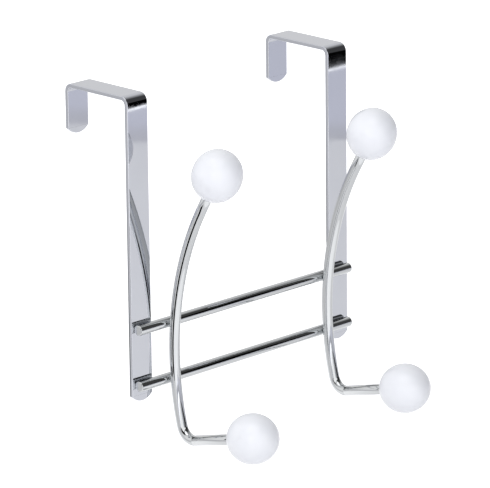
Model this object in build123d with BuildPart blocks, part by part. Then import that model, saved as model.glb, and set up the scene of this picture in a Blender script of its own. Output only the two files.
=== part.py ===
"""Coat hook rail that hangs over the top of a door: two flat straps, two cross rails, two double hooks.

Millimetres. X runs along the rails, Y points from the room into the door, Z is up.
The origin is the top front edge of the door, midway between the straps.
"""
import os
from math import sqrt

from build123d import *

# Straps: flat steel strip bent over the door
STRAP_WIDTH = 15.0
STRAP_THICKNESS = 2.4
STRAP_SPACING = 155.0
DOOR_GAP = 45.0
FRONT_LEG_LENGTH = 171.0
REAR_LIP_LENGTH = 27.0
BEND_INNER_RADIUS = 2.6
TIP_RADIUS = 9.7
STRAP_EDGE_ROUND = 0.4

# Rails: straight wire welded across the front of both straps
WIRE_DIAMETER = 6.0
UPPER_RAIL_DROP = 129.0
LOWER_RAIL_DROP = 161.3
RAIL_END_INSET = 2.1
RAIL_END_CHAMFER = 0.5
RAIL_WELD_SINK = 0.15

# Hooks: one bent wire each, welded in front of both rails
HOOK_SPACING = 120.5
HOOK_WELD_SINK = 0.25
BACK_RADIUS = 170.0
BACK_ANGLE_ABOVE = 30.0
BACK_ANGLE_BELOW = 14.3
PRONG_LENGTH = 25.4
ELBOW_RADIUS = 8.5
ARM_RISE_ANGLE = 14.65
ARM_LENGTH = 46.5
WIRE_PAST_BALL_CENTRE = 2.0

# Balls: moulded knobs with a blind bore, a little longer than they are wide
BALL_DIAMETER = 28.0
BALL_LENGTH = 30.5
BALL_LAND_DIAMETER = 9.0

# Places worked out from the sizes above
strap_x = STRAP_SPACING / 2
hook_x = HOOK_SPACING / 2
wire_radius = WIRE_DIAMETER / 2
rail_y = -(STRAP_THICKNESS + wire_radius - RAIL_WELD_SINK)
rail_heights = {"upper_rail": -UPPER_RAIL_DROP, "lower_rail": -LOWER_RAIL_DROP}
rail_length = STRAP_SPACING + STRAP_WIDTH - 2 * RAIL_END_INSET


def build_strap(label, x):
    """One strip: front leg, bridge and rear lip, swept as a flat band, then its two ends cut round."""
    mid = STRAP_THICKNESS / 2
    bend_radius = BEND_INNER_RADIUS + mid
    with BuildPart() as strap:
        with BuildSketch(Plane.YZ.offset(x - STRAP_WIDTH / 2)):
            with BuildLine():
                FilletPolyline(
                    (-mid, -FRONT_LEG_LENGTH),
                    (-mid, mid),
                    (DOOR_GAP + mid, mid),
                    (DOOR_GAP + mid, -REAR_LIP_LENGTH),
                    radius=bend_radius,
                )
            trace(line_width=STRAP_THICKNESS)
        extrude(amount=STRAP_WIDTH)
        # The corners outside each round tip are cut away through that leg alone
        for face_y, tip_z in ((0, -FRONT_LEG_LENGTH), (DOOR_GAP + STRAP_THICKNESS, -REAR_LIP_LENGTH)):
            with BuildSketch(Plane(origin=(x, face_y, tip_z), x_dir=(1, 0, 0), z_dir=(0, -1, 0))):
                with Locations((0, TIP_RADIUS / 2)):
                    Rectangle(STRAP_WIDTH + 2, TIP_RADIUS)
                with Locations((0, TIP_RADIUS)):
                    Circle(TIP_RADIUS, mode=Mode.SUBTRACT)
            extrude(amount=STRAP_THICKNESS, mode=Mode.SUBTRACT)
        # Every edge along the strip is rounded, the short corner edges of the tips stay as cut
        shortest_rounded = STRAP_THICKNESS + STRAP_EDGE_ROUND
        along_strip = strap.edges().filter_by(Axis.X, reverse=True)
        fillet(along_strip.filter_by(lambda edge: edge.length > shortest_rounded), STRAP_EDGE_ROUND)
    strap.part.label = label
    return strap.part


def build_rail(label, height):
    """One straight wire with broken end edges and a shallow flat where each strap bites into it."""
    with BuildPart() as rail:
        with BuildSketch(Plane.YZ.offset(-rail_length / 2)):
            with Locations((rail_y, height)):
                Circle(wire_radius)
        extrude(amount=rail_length)
        chamfer(rail.edges().filter_by(GeomType.CIRCLE), RAIL_END_CHAMFER)
        for x in (-strap_x, strap_x):
            with Locations((x, -STRAP_THICKNESS, height)):
                Box(
                    STRAP_WIDTH,
                    STRAP_THICKNESS,
                    WIRE_DIAMETER,
                    align=(Align.CENTER, Align.MIN, Align.CENTER),
                    mode=Mode.SUBTRACT,
                )
    rail.part.label = label
    return rail.part


def hook_centre_line(x):
    """The wire's middle line from the upper end to the lower end, in the plane of the hook."""
    rail_middle = -(UPPER_RAIL_DROP + LOWER_RAIL_DROP) / 2
    half_pitch = (LOWER_RAIL_DROP - UPPER_RAIL_DROP) / 2
    wire_y_at_rails = rail_y - WIRE_DIAMETER + HOOK_WELD_SINK
    back_centre = (wire_y_at_rails - sqrt(BACK_RADIUS**2 - half_pitch**2), rail_middle)
    elbow_turn = 90 - BACK_ANGLE_BELOW + ARM_RISE_ANGLE
    with BuildLine(Plane.YZ.offset(x)) as wire_line:
        back = CenterArc(
            back_centre,
            BACK_RADIUS,
            BACK_ANGLE_ABOVE,
            -(BACK_ANGLE_ABOVE + BACK_ANGLE_BELOW),
        )
        elbow = JernArc(back @ 1, back % 1, ELBOW_RADIUS, -elbow_turn)
        PolarLine(elbow @ 1, ARM_LENGTH + WIRE_PAST_BALL_CENTRE, 180 - ARM_RISE_ANGLE)
        PolarLine(back @ 0, PRONG_LENGTH + WIRE_PAST_BALL_CENTRE, 90 + BACK_ANGLE_ABOVE)
    return wire_line.wire()


def build_hook(label, centre_line):
    """One round wire along its bent line, with a saddle where it sits on each rail."""
    with BuildPart() as hook:
        with BuildSketch(centre_line ^ 0):
            Circle(wire_radius)
        sweep(path=centre_line)
        for height in rail_heights.values():
            with Locations((0, rail_y, height)):
                Cylinder(wire_radius, rail_length, rotation=(0, 90, 0), mode=Mode.SUBTRACT)
    hook.part.label = label
    return hook.part


def build_ball(label, wire_end, outward):
    """One knob, turned about the wire's line: an oval body, a small flat land and a blind bore."""
    half_length = BALL_LENGTH / 2
    ball_radius = BALL_DIAMETER / 2
    land_radius = BALL_LAND_DIAMETER / 2
    land_depth = half_length * sqrt(1 - (land_radius / ball_radius) ** 2)
    centre = wire_end - outward * WIRE_PAST_BALL_CENTRE
    section = Plane(origin=centre, x_dir=(1, 0, 0), z_dir=Vector(1, 0, 0).cross(outward))
    with BuildPart() as ball:
        with BuildSketch(section):
            with BuildLine():
                outline = EllipticalCenterArc((0, 0), ball_radius, half_length, -90, arc_size=180)
                Line(outline @ 1, outline @ 0)
            make_face()
            with Locations((0, -land_depth)):
                Rectangle(2 * ball_radius, half_length, align=(Align.CENTER, Align.MAX), mode=Mode.SUBTRACT)
            with Locations((0, WIRE_PAST_BALL_CENTRE)):
                Rectangle(WIRE_DIAMETER, BALL_LENGTH, align=(Align.CENTER, Align.MAX), mode=Mode.SUBTRACT)
        revolve(axis=Axis(centre, outward))
    ball.part.label = label
    return ball.part


pieces = [build_rail(label, height) for label, height in rail_heights.items()]
for side, sign in (("left", -1), ("right", 1)):
    pieces.append(build_strap(side + "_strap", sign * strap_x))
    wire_line = hook_centre_line(sign * hook_x)
    pieces.append(build_hook(side + "_hook", wire_line))
    pieces.append(build_ball(side + "_upper_ball", wire_line @ 0, -(wire_line % 0)))
    pieces.append(build_ball(side + "_lower_ball", wire_line @ 1, wire_line % 1))

os.makedirs("parts", exist_ok=True)
for piece in pieces:
    export_step(piece, "parts/" + piece.label + ".step")
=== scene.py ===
"""Chrome coat hook rail that hangs over a door, in a white photo studio. Metres, Z up, the CAD's frame."""
from math import cos, pi, radians, sin, sqrt

import bmesh
import bpy
from mathutils import Matrix, Vector


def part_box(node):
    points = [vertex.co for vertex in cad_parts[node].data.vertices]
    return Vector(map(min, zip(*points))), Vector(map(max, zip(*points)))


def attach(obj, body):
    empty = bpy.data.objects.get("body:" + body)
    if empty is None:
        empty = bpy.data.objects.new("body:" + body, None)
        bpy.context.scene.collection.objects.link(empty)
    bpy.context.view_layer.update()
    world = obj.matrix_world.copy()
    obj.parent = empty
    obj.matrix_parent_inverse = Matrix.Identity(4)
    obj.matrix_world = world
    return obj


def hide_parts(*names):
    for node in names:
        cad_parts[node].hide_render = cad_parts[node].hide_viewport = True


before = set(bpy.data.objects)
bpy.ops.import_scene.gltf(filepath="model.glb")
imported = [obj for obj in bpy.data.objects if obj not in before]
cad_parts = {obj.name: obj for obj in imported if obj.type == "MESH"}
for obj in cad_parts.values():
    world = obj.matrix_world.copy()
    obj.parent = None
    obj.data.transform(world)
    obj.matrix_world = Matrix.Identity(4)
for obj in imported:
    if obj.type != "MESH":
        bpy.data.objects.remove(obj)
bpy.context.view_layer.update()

# Camera: a long lens, a little over two metres away, looks from the front left and slightly down.
# The turn about its own axis is the small tilt with which the rail was photographed.
MM = 0.001
CAMERA_AIM = Vector((1.05, -4.2, -97.7)) * MM
CAMERA_DISTANCE = 2371 * MM
CAMERA_AZIMUTH = radians(44.54)
CAMERA_ELEVATION = radians(16.34)
CAMERA_TILT = radians(-0.656)
CAMERA_LENS = 312.1
CAMERA_REACH = 50

flat_ahead = Vector((sin(CAMERA_AZIMUTH), cos(CAMERA_AZIMUTH), 0))
ahead = flat_ahead * cos(CAMERA_ELEVATION) - Vector((0, 0, sin(CAMERA_ELEVATION)))
upright = ahead.to_track_quat("-Z", "Y").to_matrix().to_4x4()
stand = Matrix.Translation(CAMERA_AIM - ahead * CAMERA_DISTANCE)
camera = bpy.data.objects.new("camera", bpy.data.cameras.new("camera"))
camera.data.lens = CAMERA_LENS
camera.data.clip_end = CAMERA_REACH
camera.matrix_world = stand @ upright @ Matrix.Rotation(CAMERA_TILT, 4, "Z")
bpy.context.scene.collection.objects.link(camera)
bpy.context.scene.camera = camera

# Cross rails: two straight lengths of 6 mm bright drawn steel wire, sawn off, with the end edges broken.
# They are resistance welded across the straps and chromed with them, so the joints show no bead.
WIRE_SIDES = 96
WIRE_END_BREAK = 0.5 * MM
WIRE_END_LAND = 0.1 * MM
ROUNDING_STEPS = 4
SQUARE_ON = 0.999
WIRE_BRIGHT = "C8CACB"
WIRE_HAZED = "C2C4C6"
# Drawing and polishing leave a swell about 1 mm long, and plating a haze in patches of about 3 mm.
# Both are too fine to show, so the swell is drawn 9 mm long and the patches 14 mm wide.
WIRE_SWELL = 9 * MM
WIRE_SWELL_DEPTH = 0.004 * MM
WIRE_DRAWN_OUT = (0.35, 1, 1)
HAZE_PATCH = 14 * MM
HAZE_TO_ROUGHNESS = {"From Min": 0.3, "From Max": 0.7, "To Min": 0.015, "To Max": 0.045}


def linear_colour(hex_code):
    """The linear RGBA of an sRGB colour written as six hex digits."""
    channels = [int(hex_code[i : i + 2], 16) / 255 for i in (0, 2, 4)]
    return [c / 12.92 if c <= 0.04045 else ((c + 0.055) / 1.055) ** 2.4 for c in channels] + [1]


def add_node(tree, kind, settings, links):
    """A node with its properties or inputs set, and each named input linked to an output socket."""
    node = tree.nodes.new(kind)
    for name, value in settings.items():
        if isinstance(name, int) or name in node.inputs:
            node.inputs[name].default_value = value
        else:
            setattr(node, name, value)
    for name, source in links.items():
        tree.links.new(source, node.inputs[name])
    return node


def plated_chrome(name, bright, hazed, swell_length, swell_depth, drawn_out):
    """Bright nickel and chrome electroplate on polished steel.

    It gives the eye a blue white mirror, whose reflections waver a little where the steel below swells
    and soften a little where the plate is hazed.
    """
    material = bpy.data.materials.new(name)
    material.use_nodes = True
    tree = material.node_tree
    shader = tree.nodes["Principled BSDF"]
    place = add_node(tree, "ShaderNodeTexCoord", {}, {})
    along = add_node(tree, "ShaderNodeMapping", {"Scale": drawn_out}, {"Vector": place.outputs["Object"]})
    swell = add_node(
        tree,
        "ShaderNodeTexNoise",
        {"Scale": 1 / swell_length, "Detail": 1.0, "Roughness": 0.4},
        {"Vector": along.outputs["Vector"]},
    )
    haze = add_node(
        tree,
        "ShaderNodeTexNoise",
        {"Scale": 1 / HAZE_PATCH, "Detail": 3.0, "Roughness": 0.55},
        {"Vector": place.outputs["Object"]},
    )
    gloss = add_node(tree, "ShaderNodeMapRange", HAZE_TO_ROUGHNESS, {"Value": haze.outputs["Fac"]})
    tint = add_node(tree, "ShaderNodeMix", {"data_type": "RGBA"}, {"Factor": haze.outputs["Fac"]})
    tint.inputs["A"].default_value = linear_colour(bright)
    tint.inputs["B"].default_value = linear_colour(hazed)
    bump = add_node(
        tree, "ShaderNodeBump", {"Strength": 1.0, "Distance": swell_depth}, {"Height": swell.outputs["Fac"]}
    )
    shader.inputs["Metallic"].default_value = 1
    tree.links.new(tint.outputs["Result"], shader.inputs["Base Color"])
    tree.links.new(gloss.outputs["Result"], shader.inputs["Roughness"])
    tree.links.new(bump.outputs["Normal"], shader.inputs["Normal"])
    return material


wire_chrome = plated_chrome(
    "chrome_plate_on_drawn_wire", WIRE_BRIGHT, WIRE_HAZED, WIRE_SWELL, WIRE_SWELL_DEPTH, WIRE_DRAWN_OUT
)


def finish_piece(name, shape, material, node):
    """Turns a bmesh into a smooth shaded piece that stands for its CAD node and rides on the frame."""
    bmesh.ops.recalc_face_normals(shape, faces=shape.faces)
    mesh = bpy.data.meshes.new(name)
    shape.to_mesh(mesh)
    shape.free()
    mesh.shade_smooth()
    mesh.materials.append(material)
    piece = bpy.data.objects.new(name, mesh)
    bpy.context.scene.collection.objects.link(piece)
    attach(piece, "root")
    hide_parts(node)
    return piece


def round_edges(shape, edges, offset):
    """Bevels edges to a small round."""
    bmesh.ops.bevel(
        shape,
        geom=edges,
        offset=offset,
        segments=ROUNDING_STEPS,
        profile=0.5,
        affect="EDGES",
        material=-1,
    )


def wire_end_caps(shape):
    """The faces of a straight wire's mesh that look along X."""
    return [face for face in shape.faces if abs(face.normal.x) > SQUARE_ON]


def build_rail(node):
    """One straight wire, as long, as thick and as high as its CAD node, with a round at each sawn end."""
    low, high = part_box(node)
    radius = (high.z - low.z) / 2
    middle = Vector(((low.x + high.x) / 2, low.y + radius, (low.z + high.z) / 2))
    shape = bmesh.new()
    bmesh.ops.create_cone(
        shape,
        cap_ends=True,
        segments=WIRE_SIDES,
        radius1=radius,
        radius2=radius,
        depth=high.x - low.x,
        matrix=Matrix.Translation(middle) @ Matrix.Rotation(pi / 2, 4, "Y"),
    )
    rims = {edge for cap in wire_end_caps(shape) for edge in cap.edges}
    round_edges(shape, list(rims), WIRE_END_BREAK)
    bmesh.ops.inset_individual(shape, faces=wire_end_caps(shape), thickness=WIRE_END_LAND)
    finish_piece(node + "_wire", shape, wire_chrome, node)


for rail_node in ("upper_rail", "lower_rail"):
    build_rail(rail_node)

# Straps: two lengths of 15 x 2.4 mm flat steel, edges rounded, bent twice over the door in a press.
# A punch cuts both ends to one wide arc, which leaves two blunt corners. Chromed like the wire.
TIP_RADIUS = 9.7 * MM
LIP_LENGTH = 27 * MM
BEND_INNER_RADIUS = 2.6 * MM
STRAP_EDGE_ROUND = 0.4 * MM
SHARP_EDGE = radians(60)
SAME_HEIGHT = 0.001 * MM
TIP_CIRCLE_SIDES = 144
BEND_STEPS = 24
STRIP_BRIGHT = "CACCD2"
STRIP_HAZED = "C5C7CE"
# Rolling leaves a flatter, longer swell than drawing: about 2 mm long, and drawn 16 mm long to show.
STRIP_SWELL = 16 * MM
STRIP_SWELL_DEPTH = 0.006 * MM
STRIP_ROLLED_OUT = (1, 1, 0.3)
# The strip is sheared from sheet, so the inner half of each edge is torn. Painted shade darkens the plate
# colour on that half, more towards the lower end, as a thin dark line down the edge.
DOOR_GAP = 45 * MM
EDGE_SHADE_DARK = "66686C"
EDGE_SHADE_DEPTH = 1.1 * MM
EDGE_SHADE_BLUR = 0.1 * MM
EDGE_SHADE_FROM_TOP_DOWN = {"From Min": -30 * MM, "From Max": -130 * MM, "To Min": 0.1, "To Max": 1.0}
EDGE_FACING = {"From Min": 0.7, "From Max": 0.95}

strap_chrome = plated_chrome(
    "chrome_plate_on_rolled_strip",
    STRIP_BRIGHT,
    STRIP_HAZED,
    STRIP_SWELL,
    STRIP_SWELL_DEPTH,
    STRIP_ROLLED_OUT,
)


def paint_edge_shade(material):
    """Paints shade into the plate colour on the sheared edges, from the inner face of the bent strip to a
    set depth.

    The distance from the inner face is taken from the bends' centre lines: it grows along Y on the legs,
    along Z on the bridge and outwards round the bends.
    """
    tree = material.node_tree
    shader = tree.nodes["Principled BSDF"]
    plain_tint = shader.inputs["Base Color"].links[0].from_socket
    place = add_node(tree, "ShaderNodeTexCoord", {}, {})
    parts = add_node(tree, "ShaderNodeSeparateXYZ", {}, {"Vector": place.outputs["Object"]})
    facing = add_node(tree, "ShaderNodeSeparateXYZ", {}, {"Vector": place.outputs["Normal"]})
    from_middle = add_node(
        tree, "ShaderNodeMath", {"operation": "SUBTRACT", 1: DOOR_GAP / 2}, {0: parts.outputs["Y"]}
    )
    off_middle = add_node(
        tree, "ShaderNodeMath", {"operation": "ABSOLUTE"}, {0: from_middle.outputs["Value"]}
    )
    past_bend = add_node(
        tree,
        "ShaderNodeMath",
        {"operation": "SUBTRACT", 1: DOOR_GAP / 2 - BEND_INNER_RADIUS},
        {0: off_middle.outputs["Value"]},
    )
    outward = add_node(
        tree, "ShaderNodeMath", {"operation": "MAXIMUM", 1: 0.0}, {0: past_bend.outputs["Value"]}
    )
    above_bend = add_node(
        tree, "ShaderNodeMath", {"operation": "ADD", 1: BEND_INNER_RADIUS}, {0: parts.outputs["Z"]}
    )
    upward = add_node(
        tree, "ShaderNodeMath", {"operation": "MAXIMUM", 1: 0.0}, {0: above_bend.outputs["Value"]}
    )
    offset = add_node(
        tree, "ShaderNodeCombineXYZ", {}, {"X": outward.outputs["Value"], "Y": upward.outputs["Value"]}
    )
    from_bend = add_node(
        tree, "ShaderNodeVectorMath", {"operation": "LENGTH"}, {"Vector": offset.outputs["Vector"]}
    )
    shade_band = add_node(
        tree,
        "ShaderNodeMapRange",
        {
            "From Min": BEND_INNER_RADIUS + EDGE_SHADE_DEPTH + EDGE_SHADE_BLUR,
            "From Max": BEND_INNER_RADIUS + EDGE_SHADE_DEPTH - EDGE_SHADE_BLUR,
        },
        {"Value": from_bend.outputs["Value"]},
    )
    either_side = add_node(tree, "ShaderNodeMath", {"operation": "ABSOLUTE"}, {0: facing.outputs["X"]})
    lower = add_node(tree, "ShaderNodeMapRange", EDGE_SHADE_FROM_TOP_DOWN, {"Value": parts.outputs["Z"]})
    on_edge = add_node(
        tree,
        "ShaderNodeMapRange",
        EDGE_FACING,
        {"Value": either_side.outputs["Value"], "To Max": lower.outputs["Result"]},
    )
    painted_shade = add_node(
        tree,
        "ShaderNodeMath",
        {"operation": "MULTIPLY"},
        {0: shade_band.outputs["Result"], 1: on_edge.outputs["Result"]},
    )
    # Painted shade: the dark edge colour is mixed into the plate colour wherever the mask reaches.
    tint = add_node(
        tree, "ShaderNodeMix", {"data_type": "RGBA"}, {"Factor": painted_shade.outputs["Value"], "A": plain_tint}
    )
    tint.inputs["B"].default_value = linear_colour(EDGE_SHADE_DARK)
    tree.links.new(tint.outputs["Result"], shader.inputs["Base Color"])


paint_edge_shade(strap_chrome)


def cut_away(shape, point, outward):
    """Removes what lies outside a plane."""
    bmesh.ops.bisect_plane(
        shape,
        geom=shape.verts[:] + shape.edges[:] + shape.faces[:],
        plane_co=point,
        plane_no=outward,
        clear_outer=True,
    )


def add_round_tip(strap, centre_x, front_y, tip_z, half_width, thickness):
    """Adds the rounded end of a strip and returns the four edges of its open top."""
    corner_z = tip_z + TIP_RADIUS - sqrt(TIP_RADIUS**2 - half_width**2)
    circle_centre = Vector((centre_x, front_y, tip_z + TIP_RADIUS))
    shape = bmesh.new()
    bmesh.ops.create_circle(
        shape,
        cap_ends=True,
        segments=TIP_CIRCLE_SIDES,
        radius=TIP_RADIUS,
        matrix=Matrix.Translation(circle_centre) @ Matrix.Rotation(pi / 2, 4, "X"),
    )
    for side in (-1, 1):
        cut_away(shape, circle_centre + Vector((side * half_width, 0, 0)), Vector((side, 0, 0)))
    cut_away(shape, Vector((centre_x, front_y, corner_z)), Vector((0, 0, 1)))
    made = bmesh.ops.extrude_face_region(shape, geom=shape.faces[:])["geom"]
    back = [part for part in made if isinstance(part, bmesh.types.BMVert)]
    bmesh.ops.translate(shape, verts=back, vec=Vector((0, thickness, 0)))
    bmesh.ops.recalc_face_normals(shape, faces=shape.faces)
    top = [face for face in shape.faces if face.normal.z > SQUARE_ON]
    bmesh.ops.delete(shape, geom=top, context="FACES_ONLY")
    tip_mesh = bpy.data.meshes.new("tip")
    shape.to_mesh(tip_mesh)
    shape.free()
    strap.from_mesh(tip_mesh)
    bpy.data.meshes.remove(tip_mesh)
    open_edges = [edge for edge in strap.edges if edge.is_boundary]
    return [e for e in open_edges if all(abs(vert.co.z - corner_z) < SAME_HEIGHT for vert in e.verts)]


def moved_on(strap, loop, offset):
    """Extrudes an edge loop straight on and returns the new loop."""
    made = bmesh.ops.extrude_edge_only(strap, edges=loop)["geom"]
    bmesh.ops.translate(strap, verts=[v for v in made if isinstance(v, bmesh.types.BMVert)], vec=offset)
    return [edge for edge in made if isinstance(edge, bmesh.types.BMEdge) and edge.is_boundary]


def bent_on(strap, loop, centre, angle):
    """Carries an edge loop round a bend about an X axis and returns the new loop."""
    made = bmesh.ops.spin(
        strap,
        geom=loop + list({vert for edge in loop for vert in edge.verts}),
        cent=centre,
        axis=Vector((1, 0, 0)),
        angle=angle,
        steps=BEND_STEPS,
    )["geom_last"]
    return [edge for edge in made if isinstance(edge, bmesh.types.BMEdge)]


def build_strap(node):
    """One strip from the front tip up, over the door and down to the tip of the lip."""
    low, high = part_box(node)
    thickness = high.z
    half_width = (high.x - low.x) / 2
    centre_x = (low.x + high.x) / 2
    bend_z = -BEND_INNER_RADIUS
    front_bend = Vector((centre_x, BEND_INNER_RADIUS, bend_z))
    rear_bend = Vector((centre_x, high.y - thickness - BEND_INNER_RADIUS, bend_z))
    shape = bmesh.new()
    front_top = add_round_tip(shape, centre_x, low.y, low.z, half_width, thickness)
    rear_top = add_round_tip(shape, centre_x, high.y - thickness, -LIP_LENGTH, half_width, thickness)
    front_corner_z = front_top[0].verts[0].co.z
    loop = moved_on(shape, front_top, Vector((0, 0, bend_z - front_corner_z)))
    loop = bent_on(shape, loop, front_bend, -pi / 2)
    loop = moved_on(shape, loop, Vector((0, rear_bend.y - front_bend.y, 0)))
    loop = bent_on(shape, loop, rear_bend, -pi / 2)
    bmesh.ops.bridge_loops(shape, edges=loop + rear_top)
    bmesh.ops.recalc_face_normals(shape, faces=shape.faces)
    sharp = [edge for edge in shape.edges if edge.calc_face_angle(0) > SHARP_EDGE]
    round_edges(shape, sharp, STRAP_EDGE_ROUND)
    strap = finish_piece(node + "_strip", shape, strap_chrome, node)
    flats = strap.modifiers.new("keep_flats_flat", "WEIGHTED_NORMAL")
    flats.keep_sharp = True


for strap_node in ("left_strap", "right_strap"):
    build_strap(strap_node)

# Hooks: each is one length of the same 6 mm wire, bent round two formers into a long back and a tight
# elbow. It is welded in front of both rails and plated with them. The cut ends are inside the balls.
HOOK_BACK_RADIUS = 170 * MM
BACK_ANGLE_ABOVE = radians(30)
BACK_ANGLE_BELOW = radians(14.3)
PRONG_TO_BALL = 25.4 * MM
ELBOW_RADIUS = 8.5 * MM
ARM_RISE_ANGLE = radians(14.65)
ARM_TO_BALL = 46.5 * MM
WIRE_PAST_BALL_CENTRE = 2 * MM
HOOK_AXIS_AT_RAILS = -11 * MM
BACK_STEPS = 72
ELBOW_STEPS = 36


def pushed_on(shape, front, offset):
    """Extrudes the wire's end face straight on and returns the new end face."""
    made = bmesh.ops.extrude_face_region(shape, geom=front)["geom"]
    bmesh.ops.translate(shape, verts=[v for v in made if isinstance(v, bmesh.types.BMVert)], vec=offset)
    return [face for face in made if isinstance(face, bmesh.types.BMFace)]


def turned_on(shape, front, centre, angle, steps):
    """Carries the wire's end face round a bend about an X axis and returns the new end face."""
    made = bmesh.ops.spin(
        shape,
        geom=front + list({edge for face in front for edge in face.edges}) + list(front[0].verts),
        cent=centre,
        axis=Vector((1, 0, 0)),
        angle=angle,
        steps=steps,
    )["geom_last"]
    return [face for face in made if isinstance(face, bmesh.types.BMFace)]


def build_hook(node, rail_nodes):
    """Pushes a round section down the prong, round the back and elbow and out along the arm.

    Returns each ball's centre and the way the wire points into it.
    """
    low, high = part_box(node)
    radius = (high.x - low.x) / 2
    centre_x = (low.x + high.x) / 2
    heights = [sum(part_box(rail)[end].z for end in (0, 1)) / 2 for rail in rail_nodes]
    half_pitch = (max(heights) - min(heights)) / 2
    back_centre_y = HOOK_AXIS_AT_RAILS - sqrt(HOOK_BACK_RADIUS**2 - half_pitch**2)
    back_centre = Vector((centre_x, back_centre_y, sum(heights) / 2))
    top = back_centre + Vector((0, cos(BACK_ANGLE_ABOVE), sin(BACK_ANGLE_ABOVE))) * HOOK_BACK_RADIUS
    prong = Vector((0, -sin(BACK_ANGLE_ABOVE), cos(BACK_ANGLE_ABOVE)))
    bottom_out = Vector((0, cos(BACK_ANGLE_BELOW), -sin(BACK_ANGLE_BELOW)))
    elbow_centre = back_centre + bottom_out * (HOOK_BACK_RADIUS - ELBOW_RADIUS)
    elbow_turn = pi / 2 - BACK_ANGLE_BELOW + ARM_RISE_ANGLE
    arm = Vector((0, -cos(ARM_RISE_ANGLE), sin(ARM_RISE_ANGLE)))
    start = top + prong * (PRONG_TO_BALL + WIRE_PAST_BALL_CENTRE)
    shape = bmesh.new()
    bmesh.ops.create_circle(
        shape,
        cap_ends=True,
        segments=WIRE_SIDES,
        radius=radius,
        matrix=Matrix.Translation(start) @ Matrix.Rotation(BACK_ANGLE_ABOVE, 4, "X"),
    )
    front = pushed_on(shape, shape.faces[:], top - start)
    front = turned_on(shape, front, back_centre, -BACK_ANGLE_ABOVE - BACK_ANGLE_BELOW, BACK_STEPS)
    front = turned_on(shape, front, elbow_centre, -elbow_turn, ELBOW_STEPS)
    pushed_on(shape, front, arm * (ARM_TO_BALL + WIRE_PAST_BALL_CENTRE))
    finish_piece(node + "_wire", shape, wire_chrome, node)
    arm_start = elbow_centre + Matrix.Rotation(-elbow_turn, 3, "X") @ bottom_out * ELBOW_RADIUS
    return (top + prong * PRONG_TO_BALL, prong), (arm_start + arm * ARM_TO_BALL, arm)


ball_places = {side: build_hook(side + "_hook", ("upper_rail", "lower_rail")) for side in ("left", "right")}

# Balls: gloss white plastic, injection moulded, a little longer than wide, with a land round the bore.
# Each is pushed on to its wire end, so the land faces back down the wire.
BALL_RADIUS = 14 * MM
BALL_HALF_LENGTH = 15.25 * MM
BALL_LAND_RADIUS = 4.5 * MM
BALL_BORE_RADIUS = 3 * MM
BALL_RIM_ROUND = 0.35 * MM
BALL_SIDES = 96
BALL_RINGS = 64
BALL_WHITE = "F4F6FB"
BALL_SHADE = "EEF0F7"
ABS_IOR = 1.53
# A polished mould leaves a ripple about 0.5 mm long. It is too fine to show, so it is drawn 7 mm long.
MOULD_RIPPLE = 7 * MM
MOULD_RIPPLE_DEPTH = 0.01 * MM
RIPPLE_TO_ROUGHNESS = {"From Min": 0.3, "From Max": 0.7, "To Min": 0.16, "To Max": 0.24}


def moulded_plastic(name):
    """Gloss white ABS from a polished mould.

    It gives the eye a hard white skin with soft highlights, the faintest ripple and a slight cloudiness.
    """
    material = bpy.data.materials.new(name)
    material.use_nodes = True
    tree = material.node_tree
    shader = tree.nodes["Principled BSDF"]
    place = add_node(tree, "ShaderNodeTexCoord", {}, {})
    ripple = add_node(
        tree,
        "ShaderNodeTexNoise",
        {"Scale": 1 / MOULD_RIPPLE, "Detail": 2.0, "Roughness": 0.5},
        {"Vector": place.outputs["Object"]},
    )
    tint = add_node(tree, "ShaderNodeMix", {"data_type": "RGBA"}, {"Factor": ripple.outputs["Fac"]})
    tint.inputs["A"].default_value = linear_colour(BALL_WHITE)
    tint.inputs["B"].default_value = linear_colour(BALL_SHADE)
    gloss = add_node(tree, "ShaderNodeMapRange", RIPPLE_TO_ROUGHNESS, {"Value": ripple.outputs["Fac"]})
    bump = add_node(
        tree,
        "ShaderNodeBump",
        {"Strength": 1.0, "Distance": MOULD_RIPPLE_DEPTH},
        {"Height": ripple.outputs["Fac"]},
    )
    shader.inputs["IOR"].default_value = ABS_IOR
    tree.links.new(tint.outputs["Result"], shader.inputs["Base Color"])
    tree.links.new(gloss.outputs["Result"], shader.inputs["Roughness"])
    tree.links.new(bump.outputs["Normal"], shader.inputs["Normal"])
    return material


ball_plastic = moulded_plastic("gloss_white_moulded_abs")


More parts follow.
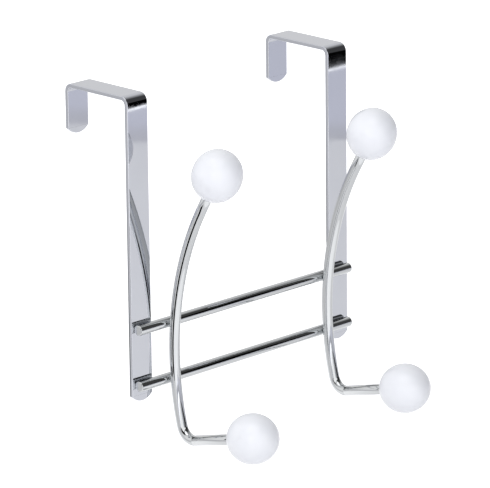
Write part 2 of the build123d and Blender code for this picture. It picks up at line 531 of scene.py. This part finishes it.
def build_ball(node, centre, outward):
    """An oval knob, cut off at the land, with its bore, turned so that the bore runs down the wire."""
    land_depth = BALL_HALF_LENGTH * sqrt(1 - (BALL_LAND_RADIUS / BALL_RADIUS) ** 2)
    stretch = BALL_HALF_LENGTH / BALL_RADIUS
    to_bore = BALL_BORE_RADIUS / BALL_LAND_RADIUS
    shape = bmesh.new()
    bmesh.ops.create_uvsphere(shape, u_segments=BALL_SIDES, v_segments=BALL_RINGS, radius=BALL_RADIUS)
    bmesh.ops.scale(shape, verts=shape.verts, vec=Vector((1, 1, stretch)))
    cut_away(shape, Vector((0, 0, -land_depth)), Vector((0, 0, -1)))
    rim = [edge for edge in shape.edges if edge.is_boundary]
    made = bmesh.ops.extrude_edge_only(shape, edges=rim)["geom"]
    bore_rim = [vert for vert in made if isinstance(vert, bmesh.types.BMVert)]
    bmesh.ops.scale(shape, verts=bore_rim, vec=Vector((to_bore, to_bore, 1)))
    round_edges(shape, rim, BALL_RIM_ROUND)
    bore_edge = [edge for edge in shape.edges if edge.is_boundary]
    made = bmesh.ops.extrude_edge_only(shape, edges=bore_edge)["geom"]
    bottom = [vert for vert in made if isinstance(vert, bmesh.types.BMVert)]
    bmesh.ops.translate(shape, verts=bottom, vec=Vector((0, 0, land_depth + WIRE_PAST_BALL_CENTRE)))
    bmesh.ops.holes_fill(shape, edges=[edge for edge in shape.edges if edge.is_boundary])
    turn = outward.to_track_quat("Z", "X").to_matrix().to_4x4()
    bmesh.ops.transform(shape, matrix=Matrix.Translation(centre) @ turn, verts=shape.verts)
    finish_piece(node + "_knob", shape, ball_plastic, node)


for side, (upper, lower) in ball_places.items():
    build_ball(side + "_upper_ball", *upper)
    build_ball(side + "_lower_ball", *lower)

# Floor: a round white table far below the rail, with a greyer rim that is a painted shadow line at the
# table's edge, on a lilac floor that is painted bluish shade.
# The eye sees it plain white. Mirrors see it glow more to the right and less to the left and far back.
FLOOR_DROP = 450 * MM
FLOOR_SIZE = 12
TABLE_CENTRE = (-0.5, 0.5, -FLOOR_DROP)
TABLE_RADIUS = 2.247
RIM_SHADOW_WIDTH = 0.08
TABLE_WHITE = "E8E8EA"
TABLE_RIM_SHADOW = ((0.15, "B4B4BE"), (0.55, "B8B9C6"))
FLOOR_LILAC_SHADE = "CACCDE"
FULL_WHITE = "FFFFFF"
PAINT_ROUGHNESS = 0.9
# How strongly the floor glows: to the eye by the distance from the rail's foot, and to mirrors
# towards the back, far back, and from the left to the right. Distances are in metres.
GLOW_TO_EYE = {"From Min": 0.6, "From Max": 1.6, "To Min": 0.55, "To Max": 1.0}
GLOW_TO_BACK = {"From Min": -0.2, "From Max": 0.6, "To Min": 0.36, "To Max": 0.8}
GLOW_FAR_BACK = {"From Min": 0.55, "From Max": 0.95, "To Min": 0.8, "To Max": 0.3}
GLOW_FROM_LEFT = {"From Min": -0.65, "From Max": -0.3, "To Min": 0.22}


def plain_paint(name, hex_code, glow=0):
    """A dead matt paint in one colour, which may glow."""
    paint = bpy.data.materials.new(name)
    paint.use_nodes = True
    shader = paint.node_tree.nodes["Principled BSDF"]
    shader.inputs["Base Color"].default_value = linear_colour(hex_code)
    shader.inputs["Roughness"].default_value = PAINT_ROUGHNESS
    shader.inputs["Specular IOR Level"].default_value = 0
    shader.inputs["Emission Color"].default_value = linear_colour(hex_code)
    shader.inputs["Emission Strength"].default_value = glow
    return paint


def flat_sheet(name, width, height, place, paint):
    """A flat sheet of the studio, centred on its place."""
    shape = bmesh.new()
    bmesh.ops.create_grid(shape, x_segments=1, y_segments=1, size=0.5)
    bmesh.ops.scale(shape, verts=shape.verts, vec=Vector((width, height, 1)))
    bmesh.ops.transform(shape, verts=shape.verts, matrix=place)
    mesh = bpy.data.meshes.new(name)
    shape.to_mesh(mesh)
    shape.free()
    mesh.materials.append(paint)
    sheet = bpy.data.objects.new(name, mesh)
    bpy.context.scene.collection.objects.link(sheet)
    return sheet


floor_paint = plain_paint("white_table_paint", TABLE_WHITE)
floor_tree = floor_paint.node_tree
floor_shader = floor_tree.nodes["Principled BSDF"]
floor_place = add_node(floor_tree, "ShaderNodeTexCoord", {}, {})
floor_parts = add_node(floor_tree, "ShaderNodeSeparateXYZ", {}, {"Vector": floor_place.outputs["Object"]})
from_foot = add_node(
    floor_tree, "ShaderNodeVectorMath", {"operation": "LENGTH"}, {"Vector": floor_place.outputs["Object"]}
)
from_centre = add_node(
    floor_tree,
    "ShaderNodeVectorMath",
    {"operation": "DISTANCE", 1: TABLE_CENTRE},
    {0: floor_place.outputs["Object"]},
)
table_end = add_node(
    floor_tree,
    "ShaderNodeMapRange",
    {"From Min": TABLE_RADIUS, "From Max": TABLE_RADIUS + RIM_SHADOW_WIDTH},
    {"Value": from_centre.outputs["Value"]},
)
# Painted shade: a painted shadow line darkens the table's edge, and the floor beyond it is painted a bluish
# shade.
table_tint_and_shade = add_node(floor_tree, "ShaderNodeValToRGB", {}, {"Fac": table_end.outputs["Result"]})
ramp = table_tint_and_shade.color_ramp
ramp.elements[0].color = linear_colour(TABLE_WHITE)
ramp.elements[1].color = linear_colour(FLOOR_LILAC_SHADE)
for across_rim, tone in TABLE_RIM_SHADOW:
    ramp.elements.new(across_rim).color = linear_colour(tone)
ray = add_node(floor_tree, "ShaderNodeLightPath", {}, {})
glow_to_eye = add_node(floor_tree, "ShaderNodeMapRange", GLOW_TO_EYE, {"Value": from_foot.outputs["Value"]})
glow_to_back = add_node(floor_tree, "ShaderNodeMapRange", GLOW_TO_BACK, {"Value": floor_parts.outputs["Y"]})
glow_far_back = add_node(
    floor_tree, "ShaderNodeMapRange", GLOW_FAR_BACK, {"Value": floor_parts.outputs["Y"]}
)
glow_at_right = add_node(
    floor_tree,
    "ShaderNodeMath",
    {"operation": "MINIMUM"},
    {0: glow_to_back.outputs["Result"], 1: glow_far_back.outputs["Result"]},
)
table_glow = add_node(
    floor_tree,
    "ShaderNodeMapRange",
    GLOW_FROM_LEFT,
    {"Value": floor_parts.outputs["X"], "To Max": glow_at_right.outputs["Value"]},
)
glow_to_mirrors = add_node(
    floor_tree,
    "ShaderNodeMath",
    {"operation": "MULTIPLY"},
    {0: ray.outputs["Is Glossy Ray"], 1: table_glow.outputs["Result"]},
)
glow = add_node(
    floor_tree,
    "ShaderNodeMath",
    {"operation": "MULTIPLY_ADD"},
    {0: ray.outputs["Is Camera Ray"], 1: glow_to_eye.outputs["Result"], 2: glow_to_mirrors.outputs["Value"]},
)
floor_shader.inputs["Emission Color"].default_value = linear_colour(FULL_WHITE)
floor_tree.links.new(table_tint_and_shade.outputs["Color"], floor_shader.inputs["Base Color"])
floor_tree.links.new(glow.outputs["Value"], floor_shader.inputs["Emission Strength"])
flat_sheet("floor", FLOOR_SIZE, FLOOR_SIZE, Matrix.Translation(Vector((0, 0, -FLOOR_DROP))), floor_paint)

# Cards: polished metal needs dark lines, so black cards stand where it mirrors them, out of the picture.
# One in front on the right is for the bends, with a glowing white strip below it that paints a thin bright
# line into their reflection, and a small one beside the left hook is for that hook's back. Only mirrors
# see them, so they throw no shadow on the rail.
CARD_BLACK = "080808"
CARD_EDGE_GLOW = 0.7
BEND_CARD_WAY = radians(43.4)
BEND_CARD_LEAN = radians(10.7)
BEND_CARD_WIDTH = 203.5 * MM
HOOK_CARD_WAY = radians(-78)


def flat_card(name, paint, way, distance, foot, width, height, lean):
    """A card that stands at a compass bearing and faces the rail, seen only by mirrors.

    It turns by its lean about the middle of its lower edge, which is at the height of the foot.
    """
    place = Matrix.Translation(Vector((sin(way) * distance, -cos(way) * distance, foot)))
    place = place @ Matrix.Rotation(way, 4, "Z") @ Matrix.Rotation(pi / 2, 4, "X")
    place = place @ Matrix.Rotation(lean, 4, "Z") @ Matrix.Translation(Vector((0, height / 2, 0)))
    card = flat_sheet(name, width, height, place, paint)
    card.visible_camera = False
    card.visible_diffuse = False
    card.visible_shadow = False


black_card = plain_paint("black_card", CARD_BLACK)
# Painted highlight: this strip glows though it is no lamp, so the bends mirror a thin bright line.
glowing_strip = plain_paint("glowing_card_strip", FULL_WHITE, CARD_EDGE_GLOW)
flat_card(
    "right_black_card",
    black_card,
    way=BEND_CARD_WAY,
    distance=550 * MM,
    foot=-147.4 * MM,
    width=BEND_CARD_WIDTH,
    height=300 * MM,
    lean=BEND_CARD_LEAN,
)
flat_card(
    "right_glowing_card_strip",
    glowing_strip,
    way=BEND_CARD_WAY,
    distance=551 * MM,
    foot=-149.6 * MM,
    width=BEND_CARD_WIDTH,
    height=2.2 * MM,
    lean=BEND_CARD_LEAN,
)
flat_card(
    "left_black_card",
    black_card,
    way=HOOK_CARD_WAY,
    distance=153.4 * MM,
    foot=-181 * MM,
    width=46 * MM,
    height=91 * MM,
    lean=0,
)

# Room: white walls that are lit behind the table and a little more on the left, and dark in front of it.
# The eye sees only white. The direction of a ray decides how bright the wall is.
WALL_GLOW_TO_BACK = {"From Min": -0.3, "From Max": 0.3, "To Min": 0.07, "To Max": 0.85}
WALL_GLOW_FROM_LEFT = {"From Min": -0.6, "From Max": 0.0, "To Min": 1.35, "To Max": 1.0}

world = bpy.data.worlds.new("studio")
bpy.context.scene.world = world
world.use_nodes = True
room_tree = world.node_tree
walls = room_tree.nodes["Background"]
direction = add_node(room_tree, "ShaderNodeTexCoord", {}, {})
direction_parts = add_node(
    room_tree, "ShaderNodeSeparateXYZ", {}, {"Vector": direction.outputs["Generated"]}
)
wall_to_back = add_node(
    room_tree, "ShaderNodeMapRange", WALL_GLOW_TO_BACK, {"Value": direction_parts.outputs["Y"]}
)
wall_from_left = add_node(
    room_tree, "ShaderNodeMapRange", WALL_GLOW_FROM_LEFT, {"Value": direction_parts.outputs["X"]}
)
wall_glow = add_node(
    room_tree,
    "ShaderNodeMath",
    {"operation": "MULTIPLY"},
    {0: wall_to_back.outputs["Result"], 1: wall_from_left.outputs["Result"]},
)
room_ray = add_node(room_tree, "ShaderNodeLightPath", {}, {})
white_to_eye = add_node(
    room_tree,
    "ShaderNodeMath",
    {"operation": "MAXIMUM"},
    {0: wall_glow.outputs["Value"], 1: room_ray.outputs["Is Camera Ray"]},
)
walls.inputs["Color"].default_value = linear_colour(FULL_WHITE)
room_tree.links.new(white_to_eye.outputs["Value"], walls.inputs["Strength"])

# Lamps: a large soft box in front on the left lights the balls and gives the wires their bright bands.
# A low one lies before the rail and fills in from below, and one hangs overhead. No eye sees them.
# Places and sizes are in metres.


def soft_box(name, place, aim, width, height, glow):
    """A rectangular lamp behind a diffuser, aimed at a point, whose face glows at a given strength."""
    lamp = bpy.data.lights.new(name, "AREA")
    lamp.shape = "RECTANGLE"
    lamp.size = width
    lamp.size_y = height
    lamp.energy = glow * pi * width * height
    box = bpy.data.objects.new(name, lamp)
    box.location = place
    box.rotation_mode = "QUATERNION"
    box.rotation_quaternion = (aim - place).to_track_quat("-Z", "Y")
    box.visible_camera = False
    bpy.context.scene.collection.objects.link(box)


soft_box(
    "front_box",
    place=Vector((-1.0, -1.6, 0.4)),
    aim=Vector((0, 0, -0.1)),
    width=3.7,
    height=1.6,
    glow=1.34,
)
soft_box(
    "low_box",
    place=Vector((-0.45, -1.2, -0.44)),
    aim=Vector((-0.45, -1.2, 1)),
    width=1.7,
    height=1.7,
    glow=0.3,
)
soft_box(
    "top_box",
    place=Vector((-0.6, -0.5, 1.5)),
    aim=Vector((0, -0.1, -0.1)),
    width=1.4,
    height=1.4,
    glow=1.6,
)
bpy.context.scene.view_settings.view_transform = "Standard"
